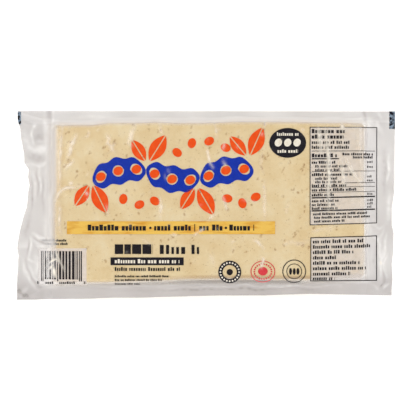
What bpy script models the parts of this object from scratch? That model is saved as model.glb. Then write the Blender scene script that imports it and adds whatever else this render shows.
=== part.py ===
# A block of firm tofu in a clear vacuum pack, lying on its formed back with the printed lid
# film up. Metres, +Z up. The origin lies under the middle of the pack's outline, on the face
# that it rests on. The film clings to the block, so block and film are one closed solid: a
# slab with rounded edges, round which the two films meet in a thin sealed rim that juts out
# just under the upper face.

import math

import bmesh
import bpy
from mathutils import Vector

# The block in its film
BLOCK_LENGTH = 0.2207
BLOCK_WIDTH = 0.1110
BLOCK_HEIGHT = 0.0480
BLOCK_ASKEW = 0.0020  # the right end is narrower than the left by this
CORNER_RADIUS = 0.0060  # of the four upright corners
UPPER_ROUNDING = 0.0035
LEFT_ROUNDING = 0.0055  # the left end's upper edge is rounder than the others
LOWER_ROUNDING = 0.0070
POCKET_DRAFT = 0.0020  # how far the sides lean in from rim to bottom
FILM_LEAVES = math.radians(60)  # how far round the upper edge the lid film clings

# The sealed rim, measured from the block's sides outward
RIM_LEFT = 0.0252
RIM_RIGHT = 0.0230
RIM_BACK = 0.0090
RIM_FRONT = 0.0138
RIM_ASKEW = 0.0045  # the front edge is trimmed closer at the right end by this
RIM_CORNER = 0.0015
RIM_THICKNESS = 0.0008
RIM_LEVEL = 0.0432  # height of the rim where it starts, on its upper side
RIM_START = 0.0026  # how far out from the block the lid film reaches that level
BACK_DROOP = 0.0015
FRONT_DROOP = 0.0050
WAVE_HEIGHT = 0.0005
WAVE_LENGTH = 0.0580

# The left edge rolls under along its middle, and the right edge is pulled in a little
CURL_PULL = 0.0080
CURL_DROP = 0.0085
CURL_CENTRE = 0.0100
CURL_REACH = 0.0560
WAIST_PULL = 0.0026
WAIST_CENTRE = -0.0100
WAIST_REACH = 0.0620

# Webs of film that stand off the block's upright corners, under the rim
GUSSET_PULL = 0.0035
GUSSET_SPREAD = 0.0090
POCKET_START = 0.0010  # how far out from the block the pocket's side starts

# Points along a long side, a short side and a corner of each ring, and rings in each part
LONG_STEPS = 40
SHORT_STEPS = 22
CORNER_STEPS = 5
ROUNDING_STEPS = 4
RIM_STEPS = 4
SIDE_STEPS = 5

FILM_COLOUR = (0.80, 0.70, 0.46, 1.0)


def rounded_ring(left, right, front, back, radius):
    """Points round a rectangle with rounded corners, the same number on every ring."""
    corners = (
        (right - radius, back - radius, 0.0),
        (left + radius, back - radius, 0.5 * math.pi),
        (left + radius, front + radius, math.pi),
        (right - radius, front + radius, 1.5 * math.pi),
    )
    arcs = []
    for x, y, start in corners:
        angles = [start + 0.5 * math.pi * step / CORNER_STEPS for step in range(CORNER_STEPS + 1)]
        arcs.append([Vector((x + radius * math.cos(a), y + radius * math.sin(a))) for a in angles])
    points = []
    for index, arc in enumerate(arcs):
        following = arcs[(index + 1) % len(arcs)]
        steps = SHORT_STEPS if index % 2 else LONG_STEPS
        points += arc
        points += [arc[-1].lerp(following[0], step / steps) for step in range(1, steps)]
    return points


def askew(point, amount):
    """Moves the front towards the back, more the further right, and leaves the back alone."""
    along = 0.5 + point.x / BLOCK_LENGTH
    across = 0.5 - point.y / BLOCK_WIDTH
    return Vector((point.x, point.y + amount * along * across))


def bell(value, centre, reach):
    """1 at the centre, falling smoothly to 0 at the reach on both sides."""
    away = min(abs(value - centre) / reach, 1.0)
    return 0.5 + 0.5 * math.cos(math.pi * away)


def block_ring(inset, left_inset=None):
    """A level section of the block, moved in from its sides."""
    left_inset = inset if left_inset is None else left_inset
    ring = rounded_ring(
        left_inset - BLOCK_LENGTH / 2,
        BLOCK_LENGTH / 2 - inset,
        inset - BLOCK_WIDTH / 2,
        BLOCK_WIDTH / 2 - inset,
        max(CORNER_RADIUS - inset, RIM_CORNER),
    )
    return [askew(point, BLOCK_ASKEW) for point in ring]


def rim_edge():
    """The trimmed outline of the rim, with the curled left edge and the waisted right one."""
    ring = rounded_ring(
        -BLOCK_LENGTH / 2 - RIM_LEFT,
        BLOCK_LENGTH / 2 + RIM_RIGHT,
        -BLOCK_WIDTH / 2 - RIM_FRONT,
        BLOCK_WIDTH / 2 + RIM_BACK,
        RIM_CORNER,
    )
    edge = []
    for point in ring:
        moved = askew(point, RIM_ASKEW)
        if point.x < -BLOCK_LENGTH / 2:
            outward = -(point.x + BLOCK_LENGTH / 2) / RIM_LEFT
            moved.x += CURL_PULL * outward * bell(point.y, CURL_CENTRE, CURL_REACH)
        if point.x > BLOCK_LENGTH / 2:
            outward = (point.x - BLOCK_LENGTH / 2) / RIM_RIGHT
            moved.x -= WAIST_PULL * outward * bell(point.y, WAIST_CENTRE, WAIST_REACH)
        edge.append(moved)
    return edge


def rim_height(point, outward):
    """The upper side of the rim: it droops and waves more towards its edge."""
    forward = 0.5 - point.y / BLOCK_WIDTH
    droop = BACK_DROOP + (FRONT_DROOP - BACK_DROOP) * min(max(forward, 0.0), 1.0)
    if point.x < -BLOCK_LENGTH / 2:
        droop += CURL_DROP * outward * bell(point.y, CURL_CENTRE, CURL_REACH)
    turn = 2 * math.pi / WAVE_LENGTH
    wave = WAVE_HEIGHT * (math.sin(turn * point.x) + math.sin(turn * point.y + 1.0))
    return RIM_LEVEL + (wave - droop) * outward


def gusset(point, climb):
    """Pulls the film off the nearest upright corner, most at the rim and not at the bottom."""
    toward = Vector((math.copysign(1.0, point.x), math.copysign(1.0, point.y)))
    corner = Vector((toward.x * BLOCK_LENGTH / 2, toward.y * BLOCK_WIDTH / 2))
    near = math.exp(-(((point - corner).length / GUSSET_SPREAD) ** 2))
    return point + toward.normalized() * (GUSSET_PULL * near * climb**3)


def rim_ring(share, lower):
    """A ring of the rim, from its start at share 0 to its trimmed edge at share 1."""
    if lower:
        drop = RIM_THICKNESS
        start = [gusset(point, 1.0) for point in block_ring(-POCKET_START)]
    else:
        drop = 0.0
        start = block_ring(-RIM_START)
    ring = []
    for inner, outer in zip(start, rim_edge()):
        point = inner.lerp(outer, share)
        ring.append(Vector((point.x, point.y, rim_height(point, share) - drop)))
    return ring


def upper_rings():
    """The flat upper face's edge, and the rounding that the lid film follows down."""
    rings = []
    for step in range(ROUNDING_STEPS + 1):
        angle = FILM_LEAVES * step / ROUNDING_STEPS
        inset = UPPER_ROUNDING * (1 - math.sin(angle))
        left_inset = LEFT_ROUNDING * (1 - math.sin(angle))
        height = BLOCK_HEIGHT - UPPER_ROUNDING * (1 - math.cos(angle))
        rings.append([Vector((p.x, p.y, height)) for p in block_ring(inset, left_inset)])
    return rings


def side_rings():
    """The pocket's sides, from under the rim's start down to the lower rounding."""
    top = RIM_LEVEL - RIM_THICKNESS
    rings = []
    for step in range(1, SIDE_STEPS + 1):
        climb = 1 - step / SIDE_STEPS
        height = LOWER_ROUNDING + (top - LOWER_ROUNDING) * climb
        inset = POCKET_DRAFT * (1 - climb) - POCKET_START * climb**2
        ring = [gusset(point, climb) for point in block_ring(inset)]
        rings.append([Vector((point.x, point.y, height)) for point in ring])
    return rings


def lower_rings():
    """The lower rounding, down to the flat face that the pack rests on."""
    rings = []
    for step in range(1, ROUNDING_STEPS + 2):
        angle = 0.5 * math.pi * step / (ROUNDING_STEPS + 1)
        inset = POCKET_DRAFT + LOWER_ROUNDING * (1 - math.cos(angle))
        height = LOWER_ROUNDING * (1 - math.sin(angle))
        rings.append([Vector((p.x, p.y, height)) for p in block_ring(inset)])
    return rings


def centred(rings):
    """Moves the rings so that the middle of their outline stands at the origin."""
    xs = [point.x for ring in rings for point in ring]
    ys = [point.y for ring in rings for point in ring]
    middle = Vector(((min(xs) + max(xs)) / 2, (min(ys) + max(ys)) / 2, 0.0))
    return [[point - middle for point in ring] for ring in rings]


def skin_material():
    material = bpy.data.materials.new("vacuum_film_over_tofu")
    material.use_nodes = True
    shader = material.node_tree.nodes["Principled BSDF"]
    shader.inputs["Base Color"].default_value = FILM_COLOUR
    shader.inputs["Metallic"].default_value = 0.0
    shader.inputs["Roughness"].default_value = 0.25
    return material


def tofu_pack():
    """The whole pack: rings joined from the upper face, over the rim, to the flat bottom."""
    shares = [step / RIM_STEPS for step in range(RIM_STEPS + 1)]
    rings = upper_rings()
    rings += [rim_ring(share, lower=False) for share in shares]
    rings += [rim_ring(share, lower=True) for share in reversed(shares)]
    rings += side_rings()
    rings += lower_rings()
    body = bmesh.new()
    loops = [[body.verts.new(point) for point in ring] for ring in centred(rings)]
    for upper, lower in zip(loops, loops[1:]):
        for index, corner in enumerate(upper):
            following = (index + 1) % len(upper)
            body.faces.new((corner, lower[index], lower[following], upper[following]))
    body.faces.new(loops[0])
    body.faces.new(loops[-1])
    bmesh.ops.recalc_face_normals(body, faces=body.faces)
    mesh = bpy.data.meshes.new("tofu_pack")
    body.to_mesh(mesh)
    body.free()
    mesh.materials.append(skin_material())
    mesh.shade_smooth()
    mesh.set_sharp_from_angle(angle=math.radians(40))
    pack = bpy.data.objects.new("tofu_pack", mesh)
    bpy.context.scene.collection.objects.link(pack)
    return pack


for leftover in list(bpy.data.objects):
    bpy.data.objects.remove(leftover)
tofu_pack()
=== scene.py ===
# Firm tofu in a clear vacuum pack: the film, the block inside it and the ink between the two.
import math
import bpy
import numpy as np
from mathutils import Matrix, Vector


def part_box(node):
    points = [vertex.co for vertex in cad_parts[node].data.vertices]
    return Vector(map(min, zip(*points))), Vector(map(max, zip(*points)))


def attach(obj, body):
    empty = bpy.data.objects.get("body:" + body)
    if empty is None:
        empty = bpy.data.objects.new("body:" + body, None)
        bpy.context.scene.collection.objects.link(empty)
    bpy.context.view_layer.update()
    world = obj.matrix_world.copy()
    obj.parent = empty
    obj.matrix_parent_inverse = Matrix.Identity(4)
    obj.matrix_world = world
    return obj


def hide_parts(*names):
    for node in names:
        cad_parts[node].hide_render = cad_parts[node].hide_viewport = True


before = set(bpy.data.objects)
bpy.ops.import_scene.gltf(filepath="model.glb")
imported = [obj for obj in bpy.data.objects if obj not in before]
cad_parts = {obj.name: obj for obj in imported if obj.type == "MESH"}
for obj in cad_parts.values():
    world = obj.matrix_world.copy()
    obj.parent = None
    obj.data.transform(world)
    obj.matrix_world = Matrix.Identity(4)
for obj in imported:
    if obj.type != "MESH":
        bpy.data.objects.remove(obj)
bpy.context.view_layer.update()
mm = 0.001
packLow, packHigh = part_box("tofu_pack")
print("frame loaded, pack", [round(side / mm, 1) for side in packHigh - packLow], "mm")


# small tools


def hexToLinear(code):
    parts = [int(code[start:start + 2], 16) / 255 for start in (0, 2, 4)]
    linear = [p / 12.92 if p <= 0.04045 else ((p + 0.055) / 1.055) ** 2.4 for p in parts]
    return (*linear, 1.0)


def addNode(tree, kind, settings=(), links=()):
    # a node with its settings, which are sockets or properties, and what feeds its sockets
    node = tree.nodes.new(kind)
    for name, value in dict(settings).items():
        if isinstance(name, int) or name in node.inputs:
            node.inputs[name].default_value = value
        else:
            setattr(node, name, value)
    for name, source in dict(links).items():
        tree.links.new(source, node.inputs[name])
    return node


def newMaterial(name):
    material = bpy.data.materials.new(name)
    material.use_nodes = True
    material.node_tree.nodes.clear()
    return material, material.node_tree


def rampOf(tree, source, stops):
    # colour ramp through (place, hex) stops
    ramp = addNode(tree, "ShaderNodeValToRGB", links={"Fac": source})
    while len(ramp.color_ramp.elements) < len(stops):
        ramp.color_ramp.elements.new(0.5)
    for element, (place, code) in zip(ramp.color_ramp.elements, stops):
        element.position = place
        element.color = hexToLinear(code)
    return ramp.outputs["Color"]


def smooth(value):
    value = np.clip(value, 0.0, 1.0)
    return value * value * (3 - 2 * value)


def bell(value, centre, reach):
    away = np.minimum(np.abs(value - centre) / reach, 1.0)
    return 0.5 + 0.5 * np.cos(math.pi * away)


def ripple(x, y, size, seed):
    # smooth unevenness between about -1 and 1, whose bumps are about this many mm across
    dice = np.random.default_rng(seed)
    field = np.zeros(np.shape(x))
    waves = 7
    for _ in range(waves):
        heading = dice.uniform(0, math.tau)
        turn = math.pi / (size * dice.uniform(0.7, 1.5))
        shift = dice.uniform(0, math.tau)
        field = field + np.sin(turn * (x * math.cos(heading) + y * math.sin(heading)) + shift)
    return field / math.sqrt(waves)


def nearChain(x, y, chain):
    # distance of each place from a chain of points, and how far along the chain it lies
    total = sum(math.dist(a, b) for a, b in zip(chain, chain[1:]))
    nearest = np.full(np.shape(x), 1e9)
    along = np.zeros(np.shape(x))
    run = 0.0
    for (ax, ay), (bx, by) in zip(chain, chain[1:]):
        length = math.hypot(bx - ax, by - ay)
        share = ((x - ax) * (bx - ax) + (y - ay) * (by - ay)) / length**2
        share = np.clip(share, 0.0, 1.0)
        away = np.hypot(x - ax - share * (bx - ax), y - ay - share * (by - ay))
        along = np.where(away < nearest, (run + share * length) / total, along)
        nearest = np.minimum(nearest, away)
        run += length
    return nearest, along


def meshPiece(name, places, faces, material, values=None):
    # places in mm; values are named numbers for each point, which the materials read
    mesh = bpy.data.meshes.new(name)
    mesh.from_pydata([tuple(place) for place in np.asarray(places) * mm], [], faces)
    for label, numbers in (values or {}).items():
        layer = mesh.attributes.new(label, "FLOAT", "POINT")
        layer.data.foreach_set("value", np.asarray(numbers, dtype=np.float32))
    mesh.materials.append(material)
    mesh.shade_smooth()
    piece = bpy.data.objects.new(name, mesh)
    bpy.context.scene.collection.objects.link(piece)
    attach(piece, "root")
    return piece


# the pack's shape, in mm, in plan from the block's middle, the same as the solid's

pack = {
    "rimLeft": 25.2, "rimRight": 23.0, "rimBack": 9.0, "rimFront": 13.8,
    "rimLevel": 43.2, "rimStart": 2.6, "rimThickness": 0.35, "rimAskew": 4.5,
    "blockAskew": 2.0, "cornerRadius": 3.6, "upperRounding": 3.5, "leftRounding": 5.5,
    "lowerRounding": 7.0, "pocketDraft": 2.0, "pocketStart": 1.0,
    "gussetPull": 3.5, "gussetSpread": 9.0,
    "backDroop": 1.5, "frontDroop": 5.0, "waveHeight": 0.5, "waveLength": 58.0,
    "curlPull": 8.0, "curlDrop": 8.5, "curlCentre": 10.0, "curlReach": 56.0,
    "waistPull": 2.6, "waistCentre": -10.0, "waistReach": 62.0,
    "leftRoundBegins": -14.0, "leftRoundTakes": 8.0,  # out from the block's left edge
    "filmLeaves": 60,  # degrees round the upper edge to which the lid film clings
    # unevenness of the face and of the rim: height, size and seed of the dice
    "faceUneven": [(0.14, 34, 11), (0.05, 9, 12)], "rimUneven": [(0.22, 13, 31), (0.06, 4, 32)],
    "ridgeRoom": 0.45,  # the creases stay this far under the solid's top
    "printSlip": 1.4,
    # how far the block's back, front and right edges bow out, as (x, mm) from the pack's middle
    "backBow": [(-108, -0.6), (-80, -0.6), (-69, 0.9), (-46, 1), (-35, 1.5), (-22, 0.8), (0, 0.9),
                (20, 1.7), (34, 1.8), (67, 1.5), (85, 1), (110, 0.7)],
    "frontBow": [(-110, 1.6), (-70, 1.6), (-40, 0.8), (-10, 0), (30, 0), (50, 0.6), (73, 1),
                 (90, 0.6), (110, 0)],
    "rightBow": 1.1, "bowReach": 12,
    # how far the trimmed edges stand in beyond that, as (y, mm) or (x, mm) from the block's middle
    "leftTrim": [(-69, 0), (-58, 0.1), (-46, 0.9), (-38, 0.9), (-33, -0.8), (-27, -1.3), (-20, -1.8),
                 (-10, -1.5), (-4, -0.6), (7, -0.6), (12, 0.3), (18, -0.3), (23.6, 0.9), (28.5, -1.3),
                 (35, 0.1), (46, 0.7), (52, 1.6), (58, 0.8), (65, 1.2)],
    "rightTrim": [(-69, 1.9), (-61, 1.8), (-55, 1.1), (-44, 1), (-38, 0), (-32, -0.9), (-22, -1.6),
                  (-16, -0.6), (-5, -0.6), (7, -1.8), (12, -1.6), (18, -1.3), (24, -0.9), (29, -0.6),
                  (35, -0.3), (46, 0)],
    "frontTrim": [(-134, 0), (-114, 0.5), (-83, 0.1), (-67, 0.4), (-50, 0), (-20, 0.1), (10, 0.3),
                  (41, -0.5), (57, -0.2), (73, 0), (88, -0.7), (104, -1.4), (119, -2.1), (134, -2.6)],
}
blockLength = (packHigh.x - packLow.x) / mm - pack["rimLeft"] - pack["rimRight"]
blockWidth = (packHigh.y - packLow.y) / mm - pack["rimBack"] - pack["rimFront"]
filmTop = packHigh.z / mm - pack["ridgeRoom"]
blockMiddleX = packLow.x / mm + pack["rimLeft"] + blockLength / 2
blockMiddleY = packHigh.y / mm - pack["rimBack"] - blockWidth / 2


def outFrom(x, y):
    # how far out each place lies from the block's left, right, back and front edges
    halfX, halfY = blockLength / 2, blockWidth / 2
    return {"Left": -x - halfX, "Right": x - halfX, "Back": y - halfY, "Front": -y - halfY}


def roundedDistance(x, y, radius):
    # distance from a rounded rectangle as large as the block, negative inside it
    overX = np.abs(x) - blockLength / 2 + radius
    overY = np.abs(y) - blockWidth / 2 + radius
    outside = np.hypot(np.maximum(overX, 0), np.maximum(overY, 0))
    return outside + np.minimum(np.maximum(overX, overY), 0) - radius


def rimShare(x, y):
    # 0 where the rim starts and 1 at its trimmed edge
    start = pack["rimStart"]
    shares = [(out - start) / (pack["rim" + side] - start) for side, out in outFrom(x, y).items()]
    return np.clip(np.maximum.reduce(shares), 0.0, 1.0)


def onRim(share):
    # 0 where the rim starts and 1 over all but its innermost fifth
    return smooth(share * 5)


def trimmed(place, name):
    return np.interp(place, *zip(*pack[name]))


def inPlan(x, y):
    # from the straight plan to the real one: askew front, rolled left edge, waisted right edge
    share = rimShare(x, y)
    askew = pack["blockAskew"] + (pack["rimAskew"] - pack["blockAskew"]) * share
    planY = y + askew * (0.5 + x / blockLength) * (0.5 - y / blockWidth)
    forward = np.clip(0.5 - y / blockWidth, 0, 1)
    bowBack, bowFront = (trimmed(x + blockMiddleX, name) for name in ("backBow", "frontBow"))
    planY = planY + (bowBack * (1 - forward) ** 3 - bowFront * forward**3) * (1 - share)
    outLeft, outRight, _, outFront = (
        np.maximum(out, 0) / pack["rim" + side] for side, out in outFrom(x, y).items()
    )
    planX = x + pack["curlPull"] * outLeft * bell(y, pack["curlCentre"], pack["curlReach"])
    planX = planX - pack["waistPull"] * outRight * bell(y, pack["waistCentre"], pack["waistReach"])
    nearRight = smooth((x - blockLength / 2 + pack["bowReach"]) / pack["bowReach"])
    planX = planX + pack["rightBow"] * nearRight * (1 - share)
    planX = planX + outLeft**3 * trimmed(planY, "leftTrim") - outRight**3 * trimmed(planY, "rightTrim")
    planY = planY + outFront**3 * trimmed(planX, "frontTrim")
    planX, planY = planX + blockMiddleX, planY + blockMiddleY
    return (np.clip(planX, packLow.x / mm, packHigh.x / mm),
            np.clip(planY, packLow.y / mm, packHigh.y / mm))


def rimHeight(x, y, share):
    forward = np.clip(0.5 - y / blockWidth, 0, 1)
    droop = pack["backDroop"] + (pack["frontDroop"] - pack["backDroop"]) * forward
    curled = np.where(x < -blockLength / 2, bell(y, pack["curlCentre"], pack["curlReach"]), 0)
    droop = droop + pack["curlDrop"] * share * curled
    turn = math.tau / pack["waveLength"]
    wave = pack["waveHeight"] * (np.sin(turn * x) + np.sin(turn * y + 1))
    return pack["rimLevel"] + (wave - droop) * share


def upperRadius(x):
    # the block's upper edge is rounder at its left end
    leftness = smooth((-x - blockLength / 2 - pack["leftRoundBegins"]) / pack["leftRoundTakes"])
    return pack["upperRounding"] + (pack["leftRounding"] - pack["upperRounding"]) * leftness


def lidHeight(x, y):
    # the lid film before its creases: flat face, rounded edge, straight run down to the rim
    away = roundedDistance(x, y, pack["cornerRadius"])
    radius = upperRadius(x)
    leaves = math.sin(math.radians(pack["filmLeaves"])) - 1  # in radii
    into = np.clip(away / radius + 1, 0, 1 + leaves)
    rounded = filmTop - radius * (1 - np.sqrt(1 - into**2))
    lowest = filmTop - radius * (1 - math.cos(math.radians(pack["filmLeaves"])))
    run = np.clip((away - leaves * radius) / (pack["rimStart"] - leaves * radius), 0, 1)
    bridged = lowest + (pack["rimLevel"] - lowest) * run
    face = np.where(away < leaves * radius, rounded, bridged)
    share = rimShare(x, y)
    return np.where(share > 0, rimHeight(x, y, share), face)


def faceRelief(x, y):
    # the cut face is not quite flat, and the film follows it
    return sum(height * ripple(x, y, size, seed) for height, size, seed in pack["faceUneven"])


# creases of the lid film, in mm from the pack's middle
# each is a chain of places, its height, its half width and how much it clouds the film, partly stress
# whitening and partly a painted highlight on the crease

faceCreases = [
    # along the left edge, where the film leaves the block
    ([(-101, 56.8), (-101.2, 50), (-101.9, 43), (-102.4, 28), (-103, 12)], 0.16, 0.9, 0.38),
    ([(-105.6, 4), (-103.5, 7.5), (-101.5, 10), (-98, 11.8), (-88.8, 13.8)], 0.26, 1, 0.5),
    ([(-102.9, 3), (-102.7, -8), (-103.1, -14), (-102.2, -21)], 0.14, 1, 0.4),
    # on the face
    ([(-90.3, 49.5), (-92.6, 45), (-95, 42), (-96, 37), (-97.2, 33.4)], 0.3, 1.2, 0.55),
    ([(-93, 33), (-93.2, 31), (-96.5, 28.3), (-98.2, 25.8)], 0.26, 0.9, 0.42),
    ([(-82.4, 53), (-82, 50.2), (-85, 47)], 0.2, 0.9, 0.24),
    ([(-69.3, 50.5), (-68, 46.5), (-68.3, 43.8), (-66, 40.5), (-63.6, 37.4)], 0.3, 1.2, 0.45),
    ([(-64.8, 44.2), (-64.6, 41.4)], 0.16, 0.8, 0.2),
    ([(-50, 55.5), (-51.6, 52), (-52.4, 47.5), (-53.6, 44), (-52.4, 42)], 0.3, 1.3, 0.48),
    ([(-31.6, 57), (-31.2, 53), (-30.4, 50)], 0.2, 0.8, 0.3),
    ([(0.6, 41.5), (1.8, 36), (3.5, 30), (5.7, 27)], 0.26, 0.8, 0.6),
    ([(6.2, 57), (7.6, 53.8), (8.2, 47)], 0.22, 0.9, 0.34),
    ([(9.3, 55), (10.8, 52.6)], 0.16, 0.7, 0.24),
    ([(13, 45), (12.6, 41), (11.4, 38.6)], 0.2, 0.9, 0.3),
    ([(42, 58), (41.6, 55)], 0.2, 0.8, 0.34),
    ([(39.2, 51.4), (40.8, 49.6)], 0.16, 0.7, 0.3),
    ([(40.2, 38.6), (39.4, 33), (39.2, 27), (40.8, 22)], 0.16, 0.8, 0.16),
    ([(41.8, 17), (41, 8), (41.6, 0), (41.3, -10)], 0.2, 1.1, 0.34),
    ([(11.6, 8), (13.2, 3), (14.6, -1.5), (15.5, -4.5)], 0.22, 0.9, 0.36),
    ([(2, -10.5), (4.5, -8), (8, -6.5)], 0.22, 1.2, 0.36),
    ([(34, -25), (36.5, -25.5), (38.5, -27.5), (41.3, -30.2)], 0.26, 0.9, 0.55),
    ([(38.6, -36.4), (40.4, -37.8), (39.6, -44.5)], 0.24, 0.8, 0.6),
    ([(54, -29), (58, -26), (61, -26.5), (66, -27.6), (73, -25)], 0.2, 1.3, 0.24),
    ([(-31.9, 6), (-31.5, 0), (-31.8, -9)], 0.2, 0.6, 0.42),
    ([(-8.5, -21.5), (-4, -18), (0, -15.6)], 0.2, 0.7, 0.36),
    ([(-75.2, 53.4), (-74.6, 52.4)], 0.16, 0.9, 0.34),
    ([(-95.4, 16.4), (-93.6, 14.8)], 0.2, 1.2, 0.5),
    ([(-84, 10.2), (-83.4, 7.4)], 0.16, 0.7, 0.42),
    ([(-82.8, 5.2), (-82.4, 3.2)], 0.16, 0.9, 0.42),
    ([(68, 55), (68.8, 51)], 0.16, 0.8, 0.3),
    ([(18, -27.2), (19.5, -26), (21, -25.5)], 0.16, 0.8, 0.26),
    ([(-24.6, -20.8), (-20.4, -20.2)], 0.16, 0.8, 0.26),
    # across the right panels
    ([(79.5, 56), (80, 52), (80.5, 46), (81.2, 38)], 0.24, 0.9, 0.6),
    ([(84, 55), (85.5, 44), (86.5, 34), (87.2, 20), (86.4, -4)], 0.26, 1, 0.62),
    ([(94.5, 33), (96.5, 26), (97, 17), (98, 13)], 0.2, 0.9, 0.5),
    ([(98.6, 34), (101.5, 28), (105, 21), (108.5, 15.5)], 0.22, 0.8, 0.5),
    ([(96.2, 57), (96.6, 53.6)], 0.2, 1, 0.6),
    ([(107.6, 52), (107.9, 44), (108.2, 36)], 0.12, 1.2, 0.3),
    ([(84, -17), (88, -15.6), (92, -15)], 0.16, 1.8, 0.16),
    ([(25.8, 3.9), (31.6, 2.6), (37.4, 1.8)], 0.14, 0.9, 0.2),
    ([(75, -18.8), (79.4, -16.8), (84.6, -16.4)], 0.16, 1, 0.26),
    ([(12.4, 32.6), (13.4, 29.4), (14.6, 27)], 0.16, 0.9, 0.24),
    ([(52.6, 47), (51.8, 43)], 0.14, 0.9, 0.2),
    ([(58.6, 2.2), (57.2, -2.4), (57.6, -6)], 0.14, 0.9, 0.2),
    ([(-45, -24), (-41.4, -26.8), (-38.8, -27.4)], 0.14, 0.9, 0.2),
    ([(2.6, -34), (5, -38), (6, -43)], 0.14, 1, 0.2),
    ([(-70.4, 0.4), (-68.6, -3.2), (-68.8, -7)], 0.16, 0.9, 0.26),
]
# bubbles and folds over the printed code, their clouding partly a painted highlight
codeCreases = [
    ([(-113.6, -44.4), (-110, -40.1), (-105.8, -37.7), (-103, -40.1), (-99.4, -45.8)], 0.2, 0.7, 0.7),
    ([(-112.2, -52.9), (-111.5, -45.8), (-107.9, -42.3), (-105.8, -49.3), (-104.4, -53.6)], 0.2, 1, 0.7),
    ([(-105.8, -31), (-104.4, -36), (-103, -40.1)], 0.2, 0.8, 0.75),
    ([(-112.6, -31.4), (-112.4, -38)], 0.14, 0.9, 0.55),
    ([(-108.6, -32), (-108, -40)], 0.14, 1, 0.5),
    ([(-107.6, -45), (-107.4, -52)], 0.14, 1.2, 0.6),
]
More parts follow.
